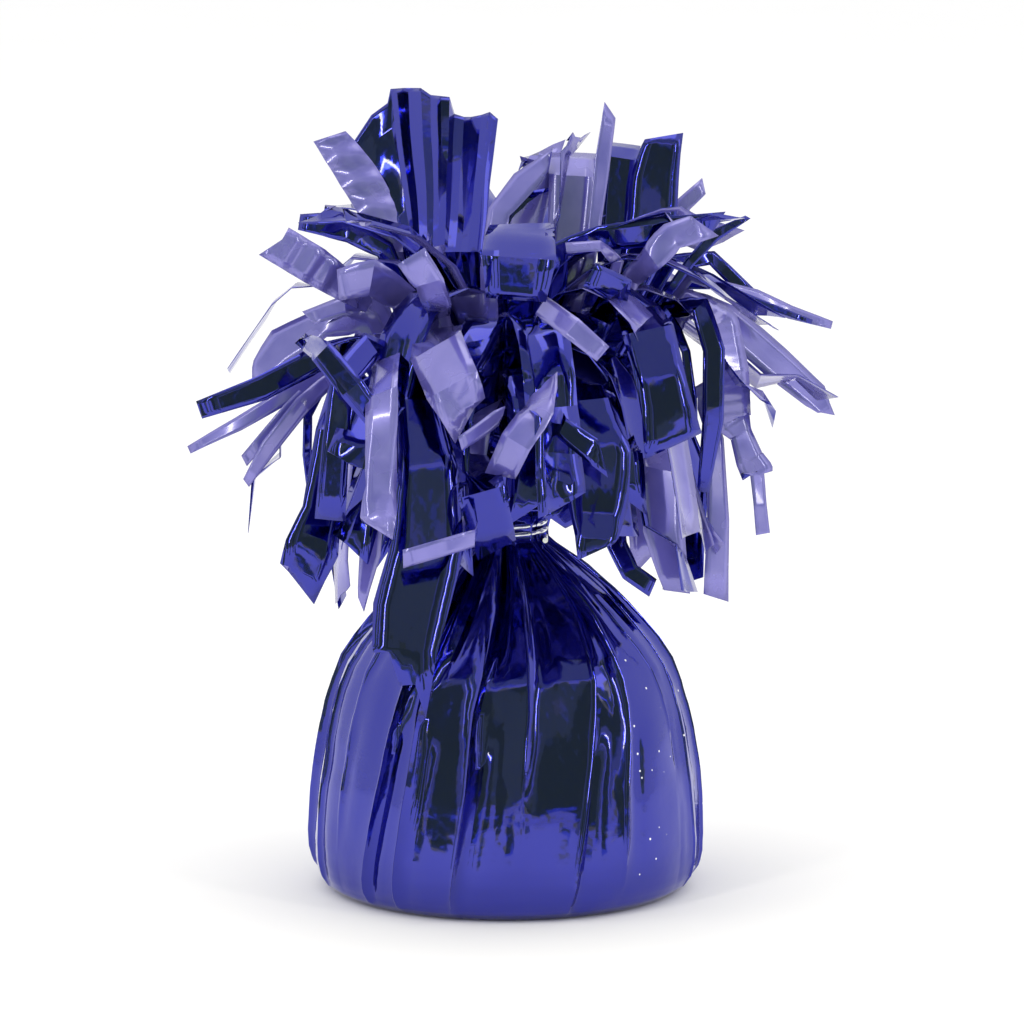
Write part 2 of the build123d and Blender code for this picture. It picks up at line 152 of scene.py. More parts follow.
# Strips that the photograph shows one by one, by bunch. Each has the face of the film that shows, the skew
# of its tip, then its points from the root out: pixel across and down, depth in millimetres, width in
# pixels, and lean of its face to the right and up
shown_strips = {
    "front_left": (
        # hanging in front
        ("front", -0.5, (425, 345, -13, 36, 0, 25), (418, 400, -28, 40, 4, 2), (428, 470, -36, 58, 3, 2),
            (428, 545, -40, 70, 2, 0), (410, 610, -44, 72, -3, 4), (402, 668, -48, 58, -4, 6)),
        ("back", 0.35, (388, 350, -18, 22, -20, 30), (382, 392, -38, 30, -30, 20),
            (381, 440, -40, 30, -6, 0), (381, 488, -42, 29, 22, -6), (377, 530, -46, 32, -32, 10)),
        ("back", 0.1, (485, 500, -25, 14, 0, -14), (474, 538, -46, 17, 2, -20), (438, 549, -49, 17, 2, -20),
            (403, 559, -50, 17, 2, -20)),
        ("back", 0.0, (505, 395, -13, 14, 10, 0), (503, 413, -36, 15, 12, -18),
            (482, 429, -40, 15, 12, -18), (460, 444, -44, 14, 12, -18)),
        ("back", -0.35, (440, 320, -10, 40, 0, 20), (436, 346, -30, 52, -18, 16),
            (452, 385, -38, 52, -24, 12), (468, 420, -38, 40, 20, -4)),
        ("back", 0.0, (440, 318, -12, 20, 0, 0), (436, 302, -34, 26, -6, -30), (429, 283, -41, 29, -12, 6),
            (411, 256, -43, 28, -16, 18)),
        # drooping at the lower left
        ("front", 0.0, (402, 372, -13, 22, 0, 0), (372, 345, -24, 28, -4, 14), (345, 375, -30, 28, -4, 2),
            (336, 440, -33, 26, -4, 0), (330, 520, -33, 30, -4, 0)),
        ("front", -0.3, (345, 370, -10, 20, 0, 0), (330, 430, -24, 28, -8, 0), (322, 510, -28, 38, 10, -10),
            (312, 548, -30, 52, 12, -14), (298, 584, -30, 42, -6, -14)),
        ("back", 0.8, (385, 430, -16, 14, 0, 0), (373, 500, -27, 22, 8, -6), (370, 555, -28, 20, 14, -12),
            (361, 605, -28, 8, 14, -12)),
        ("front", 0.0, (300, 338, -16, 14, 0, 0), (322, 352, -33, 24, 10, -10),
            (352, 388, -38, 25, 10, -10), (388, 436, -36, 18, 8, -6)),
    ),
    "front_right": (
        # hanging in front
        ("front", 0.2, (478, 440, -18, 34, 0, 0), (481, 492, -45, 46, -4, -12),
            (497, 550, -39, 40, -4, -12)),
        ("back", -0.2, (548, 345, -12, 22, 0, 10), (546, 382, -33, 26, -24, 6),
            (538, 412, -39, 30, -26, -4), (516, 442, -42, 30, -24, -6), (500, 476, -40, 28, -22, -8)),
        ("back", 0.0, (530, 330, -13, 16, 0, 10), (541, 305, -30, 17, -26, 26),
            (572, 328, -38, 18, -28, 26), (603, 354, -40, 18, -10, 10)),
        ("front", 0.3, (575, 350, -13, 40, 0, 10), (588, 400, -30, 54, 5, 2), (600, 455, -36, 60, -2, 4),
            (598, 505, -38, 58, 6, 0), (596, 552, -43, 34, 2, 8)),
        ("front", 0.6, (545, 400, -21, 16, 0, 0), (562, 428, -40, 20, 4, -16), (603, 458, -44, 24, 4, -16)),
        ("front", -0.4, (610, 420, -16, 30, 0, 0), (622, 450, -33, 40, 12, -14),
            (624, 498, -34, 42, 14, -12)),
        ("front", 0.1, (612, 490, -20, 18, 0, 0), (617, 545, -25, 20, -8, 2), (630, 572, -27, 19, -2, -4),
            (653, 588, -28, 18, 8, -8)),
        ("front", 0.3, (600, 480, -23, 20, 0, -10), (580, 508, -36, 22, 6, -18),
            (556, 522, -38, 20, 6, -18)),
        # right
        ("front", 0.1, (632, 300, -10, 36, 0, 10), (648, 330, -26, 50, 6, -9), (662, 385, -32, 48, 8, -9),
            (668, 412, -33, 50, 12, -12), (674, 446, -33, 56, 22, -14)),
        ("back", 0.2, (660, 420, -13, 40, 0, 0), (662, 470, -24, 48, 20, -8), (664, 530, -27, 40, 22, -8),
            (677, 592, -27, 24, 24, -8)),
        ("back", -0.5, (645, 440, -10, 36, 0, 0), (648, 500, -18, 44, 10, -10),
            (648, 560, -18, 32, 14, -10)),
        ("front", 0.0, (600, 320, -10, 26, 0, 0), (620, 290, -21, 30, 8, 4), (590, 275, -26, 24, 8, -10)),
    ),
    "left": (
        # drooping at the lower left
        ("front", 0.0, (330, 370, -8, 10, 0, 0), (308, 415, -12, 9, 14, -8), (307, 455, -12, 9, 14, -8),
            (313, 508, -10, 8, 6, 0)),
        # left
        ("rippled", 0.25, (372, 300, -4, 26, 0, 0), (348, 288, -10, 30, 2, 4), (315, 266, -13, 38, -4, 4),
            (277, 243, -14, 38, -4, 4)),
        ("back", 0.1, (405, 300, -8, 30, 0, 0), (372, 277, -16, 36, 0, -10), (338, 285, -15, 30, 0, -12)),
        ("back", -0.2, (372, 318, -4, 14, 0, 0), (345, 305, -6, 20, -10, 30), (308, 318, -6, 16, -10, 28)),
        ("back", 0.5, (362, 325, 2, 18, 0, 0), (325, 322, 3, 30, -18, 22), (282, 346, 4, 38, -22, 18),
            (252, 380, 4, 16, -22, 14)),
        ("front", 0.0, (360, 345, -10, 22, 0, 0), (325, 355, -16, 26, 2, 2), (262, 388, -20, 25, 2, -2),
            (199, 410, -22, 18, 2, -4)),
        ("back", 0.0, (345, 362, -6, 14, 0, 0), (290, 394, -9, 15, -6, -14), (238, 424, -10, 14, -10, 22),
            (189, 450, -10, 8, -12, 24)),
        ("back", 0.2, (330, 368, -6, 12, 0, 0), (288, 410, -10, 13, 6, -6), (244, 461, -11, 11, 6, -6)),
        ("back", 0.2, (335, 375, -10, 14, 0, 0), (303, 404, -14, 17, 6, -10), (270, 446, -15, 17, 6, -10),
            (246, 483, -15, 9, 4, -10)),
    ),
    "back_left": (
        ("front", 0.0, (385, 250, 4, 20, 0, 0), (350, 232, 8, 22, -4, -10), (325, 224, 9, 24, -4, 16),
            (299, 222, 10, 16, -4, 14)),
    ),
    "right": (
        ("front", 0.0, (668, 310, -4, 18, 0, 10), (700, 305, -9, 20, 0, 14), (714, 350, -12, 22, 10, 0),
            (713, 420, -13, 21, 10, -6), (703, 492, -12, 12, 8, -6)),
        ("front", 0.0, (672, 318, -2, 10, 0, 10), (686, 352, -6, 9, 10, 0), (692, 400, -8, 10, 10, -6),
            (694, 430, -8, 8, 10, -6)),
        ("back", 0.15, (700, 390, -2, 16, 0, 0), (716, 440, -4, 16, 22, -6), (718, 520, -6, 22, 24, -8),
            (716, 598, -7, 25, 26, -8)),
        ("ribbed", 0.0, (688, 302, 2, 24, 0, 20), (722, 322, -2, 32, 14, 20), (731, 370, -4, 36, 24, 2),
            (733, 420, -4, 36, 26, -6), (741, 434, -4, 22, 26, -8), (750, 460, -5, 28, 22, -8),
            (757, 472, -5, 32, 22, -8), (757, 474, -5, 14, 22, -8), (760, 505, -6, 13, 24, -8),
            (763, 534, -6, 14, 24, -8)),
        ("back", 0.5, (690, 300, 6, 24, 0, 24), (730, 322, 8, 34, 8, 26), (776, 362, 8, 34, 18, 22),
            (815, 396, 8, 28, 20, 18), (828, 414, 8, 10, 20, 18)),
        ("front", -0.4, (560, 250, -6, 20, 0, 0), (600, 238, -8, 24, 0, -12), (660, 232, -9, 30, 0, -12),
            (718, 224, -8, 22, 0, -10)),
        ("back", 0.0, (618, 262, -9, 12, 0, 0), (600, 246, -13, 11, 0, 26), (566, 248, -14, 11, 0, 24)),
        ("back", -0.4, (630, 280, -8, 20, 0, 0), (652, 258, -14, 22, 24, 34), (672, 236, -14, 24, 20, 34),
            (705, 226, -13, 26, 4, -10)),
    ),
    "back_right": (
        ("front", 0.3, (670, 262, 8, 16, 0, 10), (712, 258, 12, 15, 4, 4), (754, 299, 12, 15, 6, 0)),
        ("back", 0.0, (690, 278, 8, 10, 0, 10), (756, 296, 11, 14, 6, 10), (790, 312, 12, 14, 6, 24),
            (832, 325, 12, 8, 6, 24)),
        ("front", 0.0, (665, 285, 8, 8, 0, 10), (715, 285, 10, 9, 2, 24), (760, 303, 10, 8, 4, 20),
            (812, 322, 10, 5, 4, 20)),
        ("front", 0.3, (690, 262, 2, 10, 0, 0), (715, 235, 4, 12, 0, -10), (748, 217, 4, 5, 0, 20)),
    ),
    "crown": (
        ("front", 0.0, (522, 224, -22, 37, 2, 55), (520, 238, -28, 52, 2, 40), (519, 258, -33, 70, 2, 12),
            (516, 300, -33, 56, 0, -14)),
        ("front", 0.2, (640, 260, 6, 40, 0, 0), (652, 215, 8, 50, 0, 2), (655, 178, 9, 48, 4, 4),
            (664, 136, 10, 36, 8, 6)),
        ("back", 0.5, (590, 260, 0, 12, 0, 0), (596, 215, 2, 13, 16, 8), (603, 160, 3, 15, 22, 8),
            (610, 110, 4, 13, 24, 8)),
        ("back", 0.0, (566, 270, 4, 36, 0, 0), (569, 220, 6, 42, 2, 2), (572, 176, 8, 46, 2, 4),
            (572, 153, 14, 46, 2, 26)),
        ("front", 0.0, (612, 270, 8, 30, 0, 0), (616, 210, 11, 36, 4, -8), (620, 158, 13, 36, 4, -6),
            (622, 144, 18, 34, 2, 26)),
        ("back", 0.6, (490, 270, 2, 20, 0, 0), (499, 212, 5, 22, -10, 18), (524, 182, 7, 26, -14, 24),
            (551, 158, 8, 14, -14, 22)),
        ("front", 0.4, (510, 280, 6, 20, 0, 0), (516, 225, 9, 30, 6, -8), (536, 190, 10, 26, 6, -8)),
        ("back", 0.3, (670, 250, 10, 12, 0, 0), (683, 205, 14, 15, 12, 24), (704, 186, 15, 13, 12, 26)),
    ),
}
shown_looseness = 0.35
notched_width = 57
notch_depth = 0.3
least_facing = 0.6

# Their roots, in millimetres from the axis, and the steps between two points of a strip
crown_root_radius = 2.4
shown_root_radius = 6
root_rise = 6 * mm
root_width_shares = (0.6, 0.8)
root_steps = 3
plain_steps = 3
ripple_steps = 16
crown_seed = 7

# Strips with cross ripples: the ripples' height and pitch, and the share of the strip's length that has them
ripples = {"rippled": (0.25 * mm, 4.2 * mm, 1.0), "ribbed": (0.04 * mm, 1.9 * mm, 0.4)}


# Camera

def add_object(name, data):
    """A new object in the scene."""
    made = bpy.data.objects.new(name, data)
    bpy.context.scene.collection.objects.link(made)
    return made


def camera_axes():
    """The camera's place and its right, up and forward directions."""
    target = Vector(((photo_size / 2 - axis_px) * pixel, 0, 0))
    target.z = (foot_py - photo_size / 2) * pixel / math.cos(camera_height_angle)
    forward = Vector((0, math.cos(camera_height_angle), -math.sin(camera_height_angle)))
    up = Vector((0, math.sin(camera_height_angle), math.cos(camera_height_angle)))
    return target - camera_reach * forward, Vector((1, 0, 0)), up, forward


def photo_point(px, py, depth):
    """The point that shows at a pixel of the photograph, on the upright plane at a depth in millimetres."""
    place, right, up, forward = camera_axes()
    half = photo_size / 2
    ray = camera_reach * forward + (px - half) * pixel * right + (half - py) * pixel * up
    return place + ray * ((depth * mm - place.y) / ray.y)


def add_camera():
    place, right, up, forward = camera_axes()
    data = bpy.data.cameras.new("camera")
    data.sensor_width = sensor_width
    data.lens = sensor_width * camera_reach / (photo_size * pixel)
    camera = add_object("camera", data)
    camera.matrix_world = Matrix.Translation(place) @ Matrix((right, up, -forward)).transposed().to_4x4()
    bpy.context.scene.camera = camera


# Materials

def node(tree, kind, inputs=None, **settings):
    """A node with its settings, and its inputs set to values or linked from other nodes' outputs."""
    made = tree.nodes.new(kind)
    for name, value in settings.items():
        setattr(made, name, value)
    for name, value in (inputs or {}).items():
        if isinstance(value, bpy.types.NodeSocket):
            tree.links.new(value, made.inputs[name])
        else:
            made.inputs[name].default_value = value
    return made


def ramp(tree, share, colours, places=(0.0, 1.0)):
    """A blend from one colour to another, between two places of a share."""
    blend = node(tree, "ShaderNodeValToRGB", {"Fac": share})
    for element, colour, place in zip(blend.color_ramp.elements, colours, places):
        element.position = place
        element.color = colour
    return blend.outputs["Color"]


def new_material(name, looks):
    """A material with its tree, its shader with values set on it, and its Object coordinates."""
    material = bpy.data.materials.new(name)
    material.use_nodes = True
    tree = material.node_tree
    shader = tree.nodes["Principled BSDF"]
    for key, value in looks.items():
        shader.inputs[key].default_value = value
    place = tree.nodes.new("ShaderNodeTexCoord").outputs["Object"]
    return material, tree, shader, place


def feed(tree, shader, sources):
    """Links outputs of nodes to the shader's inputs."""
    for key, source in sources.items():
        tree.links.new(source, shader.inputs[key])


def cloudy(tree, place, scale, detail):
    """A cloudy share between nothing and all."""
    made = node(tree, "ShaderNodeTexNoise", {"Vector": place, "Scale": scale, "Detail": detail})
    return made.outputs["Fac"]


def spotted(tree, place, scale):
    """The distance from the nearest of many scattered spots."""
    return node(tree, "ShaderNodeTexVoronoi", {"Vector": place, "Scale": scale}).outputs["Distance"]


def between(tree, share, low, high, start=0.0, end=1.0):
    """A value that goes from low to high while a share goes from its start to its end."""
    limits = {"From Min": start, "From Max": end, "To Min": low, "To Max": high}
    return node(tree, "ShaderNodeMapRange", {"Value": share, **limits}).outputs["Result"]


def bump(tree, height, distance, **below):
    """The way that a surface faces when a height raises it, on top of a bump below."""
    return node(tree, "ShaderNodeBump", {"Height": height, "Distance": distance, **below}).outputs["Normal"]


def film_material(name, painted_glints=False):
    """Violet metallised film: a mirror under a clear lacquer, crinkled and a little cloudy; on request with
    white flecks on the right flank, which are painted glints.
    """
    material, tree, shader, place = new_material(name, film_looks)
    haze = between(tree, cloudy(tree, place, 160.0, 3.0), 0.03, 0.14)
    waves = bump(tree, cloudy(tree, place, 240.0, 2.0), film_wave)
    facets = bump(tree, spotted(tree, place, 420.0), film_facet, Normal=waves)
    feed(tree, shader, {"Roughness": haze, "Normal": facets})
    # Painted glints: white, not metallic, flecks that stand for lamp glints, only right of the axis
    if painted_glints:
        across = node(tree, "ShaderNodeSeparateXYZ", {"Vector": place}).outputs["X"]
        both = {0: spotted(tree, place, 380.0), 1: between(tree, across, 1.0, 0.0, *painted_glint_edges)}
        reach = node(tree, "ShaderNodeMath", both, operation="ADD").outputs[0]
        tint = ramp(tree, reach, (painted_glint_colour, film_colour), painted_glint_rim)
        feed(tree, shader, {"Base Color": tint, "Metallic": between(tree, reach, 0.0, 1.0, *painted_glint_rim)})
    return material


def back_material():
    """The film's back: paler and satin, with a soft sheen."""
    material, tree, shader, place = new_material("lavender_back", back_looks)
    cloud = cloudy(tree, place, 140.0, 3.0)
    tint = ramp(tree, cloud, back_colours, (0.3, 0.75))
    feed(tree, shader, {"Base Color": tint, "Roughness": between(tree, cloud, 0.18, 0.34)})
    return material


def plain_material(name, colour, dark, roughness, scale, height):
    """A matt stuff with a mottled colour and a grain."""
    material, tree, shader, place = new_material(name, {"Roughness": roughness})
    grain = cloudy(tree, place, scale, 4.0)
    tint = ramp(tree, grain, (dark, colour))
    feed(tree, shader, {"Base Color": tint, "Normal": bump(tree, grain, height)})
    return material


def wire_material():
    """Bright drawn wire with faint marks."""
    material, tree, shader, place = new_material("tie_wire_silver", wire_looks)
    feed(tree, shader, {"Roughness": between(tree, cloudy(tree, place, 900.0, 3.0), 0.12, 0.3)})
    return material


# Pieces

def outward(azimuth):
    """The level direction at an azimuth in degrees, from the right round by the back."""
    turned = math.radians(azimuth)
    return Vector((math.cos(turned), math.sin(turned), 0))


def smooth_mesh(name, verts, faces, angle):
    """A mesh that is smooth but for edges sharper than an angle."""
    mesh = bpy.data.meshes.new(name)
    mesh.from_pydata(verts, [], faces)
    mesh.polygons.foreach_set("use_smooth", [True] * len(mesh.polygons))
    mesh.set_sharp_from_angle(angle=angle)
    return mesh


def add_piece(name, mesh, material, body, nodes=()):
    """A finished piece: an object at the origin with its film, on its body, in place of CAD nodes."""
    mesh.name = name
    piece = add_object(name, mesh)
    if not mesh.materials:
        mesh.materials.append(material)
    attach(piece, body)
    if nodes:
        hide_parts(*nodes)
    return piece


def thicken(piece, back=None):
    """Gives a sheet the film's thickness, and its back the film's other face."""
    wall = piece.modifiers.new("film thickness", "SOLIDIFY")
    wall.thickness = film_thickness
    wall.offset = 0
    if back:
        piece.data.materials.append(back)
        wall.material_offset = 1


# Wrap

# The film's outside from the middle of the base to the trunk above the tie: radius and height
wrap_profile = (
    (0.5, 0.1), (14, 0.1), (26, 0.1), (29.2, 0.4), (31.0, 1.6), (31.9, 3.4), (32.4, 6.0), (32.5, 9.0),
    (32.3, 12.5), (32.0, 16.0), (31.6, 19.5), (31.0, 23.0), (30.3, 27.0), (29.4, 31.0), (28.1, 35.0),
    (26.4, 39.0), (24.0, 42.5), (21.4, 45.5), (18.9, 48.3), (16.2, 51.0), (13.4, 53.4), (10.8, 55.6),
    (8.6, 57.4), (7.0, 58.8), (6.1, 59.9), (5.9, 61.3), (6.1, 62.7), (7.2, 64.2), (8.9, 65.6),
)

# The jar inside, which the film lies on: falling heights and the radius at each
jar_heights = (46, 45, 44, 42, 40, 38, 35, 31, 22, 7, 4, 2)
jar_radii = (16.3, 18.9, 20.7, 23.3, 25.3, 26.7, 28.0, 29.1, 29.9, 31.6, 31.3, 29.9)
film_clearance = 0.2

# Creases at the front, from the photograph: azimuth from the front in degrees, to the right, at falling
# heights, then how far the ridge stands out and how high above the floor it begins
front_creases = (
    ((-78, -76, -74, -74), 0.5, 0),
    ((-62, -60, -60, -60), 0.3, 8),
    ((-34, -38, -41, -47), 1.2, 0),
    ((-24, -29, -30.5, -35), 1.1, 0),
    ((-4, -10, -11.5, -16.5), 1.5, 0),
    ((10, 8, 5, 2), 0.5, 18),
    ((37, 30, 25, 19), 1.4, 0),
    ((47, 44, 39, 36), 1.0, 4),
    ((62, 66, 66, 64), 0.4, 22),
    ((78, 76, 74, 73), 0.6, 0),
)
crease_heights = (50, 35, 22, 2)

# Creases round the sides and the back: azimuth at the shoulder and at the floor, and how far they stand out
back_creases = (
    (92, 88, 1.2), (105, 107, 0.75), (121, 118, 1.5), (132, 137, 0.45), (148, 150, 1.2), (163, 158, 0.8),
    (175, 178, 1.5), (191, 190, 0.45), (204, 209, 1.2), (220, 217, 0.8), (232, 236, 1.5), (248, 247, 0.5),
    (262, 266, 1.2),
)
shoulder_height = 46.3
span_shares = (0.0, 0.03, 0.08, 0.17, 0.28, 0.42, 0.6, 0.78, 0.92, 0.97)
crease_fade = 10
wrap_crease_angle = math.radians(55)

# The film between two creases, by the share of the way: a ridge, a groove beside it, a belly and a rise to
# the next ridge, with a sharp pinch on the crease. Heights in millimetres
dip_share = 0.17
ridge_share = 0.05
groove_depth = 0.75
groove_width = 0.3
rise_start = 0.55
rise_width = 0.45
belly_height = 0.35
belly_share = 0.6
belly_span = 20
pinch_height = 0.4
pinch_fade = 6

# How unevenly the film lies: broad and fine, and finer where it is gathered
broad_unevenness = 0.5
fine_unevenness = 0.14
gathered_unevenness = 0.22
gather_start = 42
gather_height = 12
base_height = 1

# How much of a crease's depth shows, at falling heights
pleat_heights = (66, 60, 55, 46, 34, 18, 4, 0.5)
pleat_shares = (0.8, 0.5, 1.5, 1.35, 0.9, 0.75, 0.6, 0.0)


def crease_table():
    """Every crease round the wrap, in order of azimuth: its azimuths by height, depth and lowest height."""
    creases = list(front_creases)
    for top, foot, depth in back_creases:
        levels = [min(1.0, height / shoulder_height) for height in crease_heights]
        creases.append((tuple(foot + level * (top - foot) for level in levels), depth, 0))
    return creases


def limited(share):
    """A share kept between nothing and all."""
    return max(0.0, min(1.0, share))


def blend_table(places, values, at):
    """The value at a place between the given ones, which fall."""
    if at >= places[0]:
        return values[0]
    for high, low, upper, lower in zip(places, places[1:], values, values[1:]):
        if at >= low:
            return lower + (upper - lower) * (at - low) / (high - low)
    return values[-1]


def wrap_rows():
    """The profile with rows added between its points."""
    rows = []
    for (r0, z0), (r1, z1) in zip(wrap_profile, wrap_profile[1:]):
        steps = 1 if z1 < base_height else 3
        for i in range(steps):
            rows.append((r0 + (r1 - r0) * i / steps, z0 + (z1 - z0) * i / steps))
    rows.append(wrap_profile[-1])
    return rows


def crease_begin(height, low):
    """How much of a crease there is at a height, where it may begin above the floor."""
    return limited((height - low) / crease_fade) if low else 1.0


def make_wrap(material):
    """The film round the jar, its sharp creases on the columns of the mesh."""
    creases = crease_table()
    verts, faces = [], []
    columns = len(creases) * len(span_shares)
    rows = wrap_rows()
    for radius, height in rows:
        tight = blend_table(pleat_heights, pleat_shares, height)
        gathered = limited((height - gather_start) / gather_height)
        for i, (angles, depth, low) in enumerate(creases):
            next_angles, next_depth, next_low = creases[(i + 1) % len(creases)]
            here = blend_table(crease_heights, angles, height)
            there = blend_table(crease_heights, next_angles, height) + (360 if i + 1 == len(creases) else 0)
            begin = crease_begin(height, low)
            next_begin = crease_begin(height, next_low)
            for share in span_shares:
                ridge = depth * begin * max(0.0, 1 - share / dip_share)
                groove = 0.0
                if share > ridge_share:
                    dip = max(0.0, 1 - abs(share - dip_share) / groove_width)
                    groove = -groove_depth * depth * begin * dip
                rise = next_depth * next_begin * max(0.0, (share - rise_start) / rise_width) ** 2
                belly = belly_height * math.sin(math.pi * share) * min(1.0, (there - here) / belly_span)
                pinch = pinch_height * min(1.0, depth, height / pinch_fade) * begin if share == 0 else 0.0
                place = outward(here + (there - here) * share - 90)
                broad = noise.noise(Vector((place.x * 5 + 3.1, place.y * 5, height * 0.06)))
                fine = noise.noise(Vector((place.x * 16, place.y * 16, height * 0.2 + 7)))
                wander = broad_unevenness * broad + (fine_unevenness + gathered_unevenness * gathered) * fine
                relief = ridge + groove + rise + belly * belly_share
                reach = radius + tight * relief + wander * min(1.0, tight)
                if jar_heights[-1] < height < jar_heights[0]:
                    reach = max(reach, blend_table(jar_heights, jar_radii, height) + film_clearance)
                reach += pinch
                if height < base_height:
                    reach = radius
                verts.append((place.x * reach * mm, place.y * reach * mm, height * mm))
    for row in range(len(rows) - 1):
        low, high = row * columns, (row + 1) * columns
        for column in range(columns):
            right = (column + 1) % columns
            faces.append((low + column, low + right, high + right, high + column))
    verts.append((0, 0, wrap_profile[0][1] * mm))
    for column in range(columns):
        faces.append((len(verts) - 1, (column + 1) % columns, column))
    mesh = smooth_mesh("film_wrap", verts, faces, wrap_crease_angle)
    return add_piece("film_wrap", mesh, material, "weight", ("foil_wrap", "foil_neck", "crown_root"))


# Fringe

class Spines:
    """Middle lines of film strips, with what the strip tree reads at each point."""

    def __init__(self):
        self.points = []
        self.edges = []
        keys = ("facing", "skew", "notch", "half_width", "curl", "fold", "loose")
        self.values = {key: [] for key in keys}

    def add(self, points, facings, widths, curl=0.0, fold=0.0, skew=0.0, notch=0.0, loose=1.0, turned=False):
        """One strip: its points from the root to the tip, the way that each faces and its width there."""
        if turned:
            facings = [-facing for facing in facings]
        first = len(self.points)
        count = len(points)
        along = (points[-1] - points[-2]).normalized()
        for i, (point, facing, width) in enumerate(zip(points, facings, widths)):
            self.points.append(point)
            if i:
                self.edges.append((first + i - 1, first + i))
            self.values["facing"].append(facing)
            self.values["half_width"].append(width / 2)
            for key, cut in (("skew", skew), ("notch", notch)):
                self.values[key].append(along * cut * width if i == count - 1 else Vector())
            for key, reach in (("curl", curl), ("fold", fold), ("loose", loose)):
                self.values[key].append(reach * min(1.0, 2 * i / count))

    def object(self, name):
        """The lines as a mesh of edges with their values as attributes."""
        mesh = bpy.data.meshes.new(name)
        mesh.from_pydata(self.points, self.edges, [])
        for key, values in self.values.items():
            if isinstance(values[0], Vector):
                layer = mesh.attributes.new(key, "FLOAT_VECTOR", "POINT")
                layer.data.foreach_set("vector", [x for value in values for x in value])
            else:
                layer = mesh.attributes.new(key, "FLOAT", "POINT")
                layer.data.foreach_set("value", values)
        return add_object(name, mesh)


# What the strip tree takes in: kind and value, but for what differs from piece to piece
strip_inputs = {
    "Geometry": ("Geometry", None),
    "Points Across": ("Int", 5),
    "Crumple Height": ("Float", 1.6 * mm),
    "Crumple Scale": ("Float", 120.0),
    "Crumple Seed": ("Float", None),
    "Fold Angle": ("Float", crease_angle),
    "Film": ("Material", None),
}


def strip_tree():
    """Geometry Nodes: sweeps a strip along each spine, curls and folds it, cuts its tip and crumples it."""
    tree = bpy.data.node_groups.new("slit_film", "GeometryNodeTree")
    for name, (kind, value) in strip_inputs.items():
        tree.interface.new_socket(name, in_out="INPUT", socket_type=f"NodeSocket{kind}")
    tree.interface.new_socket("Geometry", in_out="OUTPUT", socket_type="NodeSocketGeometry")
    inputs = node(tree, "NodeGroupInput").outputs

    def first(kind, inputs=None, **settings):
        return node(tree, kind, inputs, **settings).outputs[0]

    def named(name, kind="FLOAT"):
        return first("GeometryNodeInputNamedAttribute", {"Name": name}, data_type=kind)

    def times(vector, factor):
        return first("ShaderNodeVectorMath", {0: vector, "Scale": factor}, operation="SCALE")

    def plus(one, other):
        return first("ShaderNodeVectorMath", {0: one, 1: other}, operation="ADD")

    def sums(kind, one, other=0.0):
        return first("ShaderNodeMath", {0: one, 1: other}, operation=kind)

    facing = named("facing", "FLOAT_VECTOR")
    lines = first("GeometryNodeMeshToCurve", {"Mesh": inputs["Geometry"]})
    turned = first("GeometryNodeSetCurveNormal", {"Curve": lines, "Normal": facing}, mode="FREE")
    width_line = first("GeometryNodeCurvePrimitiveLine", {"Start": (0, -1, 0), "End": (0, 1, 0)})
    across = first("GeometryNodeResampleCurve", {"Curve": width_line, "Count": inputs["Points Across"]})
    factor = first("GeometryNodeSplineParameter")
    from_middle = sums("SUBTRACT", sums("MULTIPLY", factor, 2.0), 1.0)
    kept = {"Geometry": across, "Name": "side", "Value": from_middle}
    sided = first("GeometryNodeStoreNamedAttribute", kept, data_type="FLOAT", domain="POINT")
    half = named("half_width")
    swept = first("GeometryNodeCurveToMesh", {"Curve": turned, "Profile Curve": sided, "Scale": half})
    side = named("side")
    curled = sums("MULTIPLY", named("curl"), sums("MULTIPLY", side, side))
    folded = sums("MULTIPLY", named("fold"), sums("ABSOLUTE", side))
    lift = times(facing, sums("MULTIPLY", half, sums("ADD", curled, folded)))
    slant = times(named("skew", "FLOAT_VECTOR"), side)
    teeth = sums("ABSOLUTE", sums("COSINE", sums("MULTIPLY", side, math.pi)))
    cut = plus(slant, times(named("notch", "FLOAT_VECTOR"), teeth))
    shaped = first("GeometryNodeSetPosition", {"Geometry": swept, "Offset": plus(lift, cut)})
    grain = {"W": inputs["Crumple Seed"], "Scale": inputs["Crumple Scale"], "Detail": 1.0}
    rumple = first("ShaderNodeTexNoise", grain, noise_dimensions="4D")
    push = sums("MULTIPLY", sums("SUBTRACT", rumple, 0.5), inputs["Crumple Height"])
    shift = times(facing, sums("MULTIPLY", push, named("loose")))
    crumpled = first("GeometryNodeSetPosition", {"Geometry": shaped, "Offset": shift})
    smooth = first("GeometryNodeSetShadeSmooth", {"Geometry": crumpled}, domain="FACE")
    bend = first("GeometryNodeInputMeshEdgeAngle")
    sharp = first("FunctionNodeCompare", {"A": bend, "B": inputs["Fold Angle"]})
    edges = {"Geometry": smooth, "Selection": sharp, "Shade Smooth": False}
    creased = first("GeometryNodeSetShadeSmooth", edges, domain="EDGE")
    whole = first("GeometryNodeRealizeInstances", {"Geometry": creased})
    film = first("GeometryNodeSetMaterial", {"Geometry": whole, "Material": inputs["Film"]})
    node(tree, "NodeGroupOutput", {"Geometry": film})
    return tree


def sweep_strips(name, spines, tree, seed, material):
    """Runs the strip tree on spines and gives the plain mesh that comes out."""
    source = spines.object(f"{name}_spines")
    modifier = source.modifiers.new("strips", "NODES")
    modifier.node_group = tree
    values = {name: value for name, (kind, value) in strip_inputs.items() if value}
    values.update({"Crumple Seed": float(seed), "Film": material})
    for item in tree.interface.items_tree:
        if item.in_out == "INPUT" and item.name in values:
            modifier[item.identifier] = values[item.name]
    evaluated = source.evaluated_get(bpy.context.evaluated_depsgraph_get())
    mesh = bpy.data.meshes.new_from_object(evaluated)
    source.modifiers.remove(modifier)
    bpy.data.objects.remove(source)
    return mesh


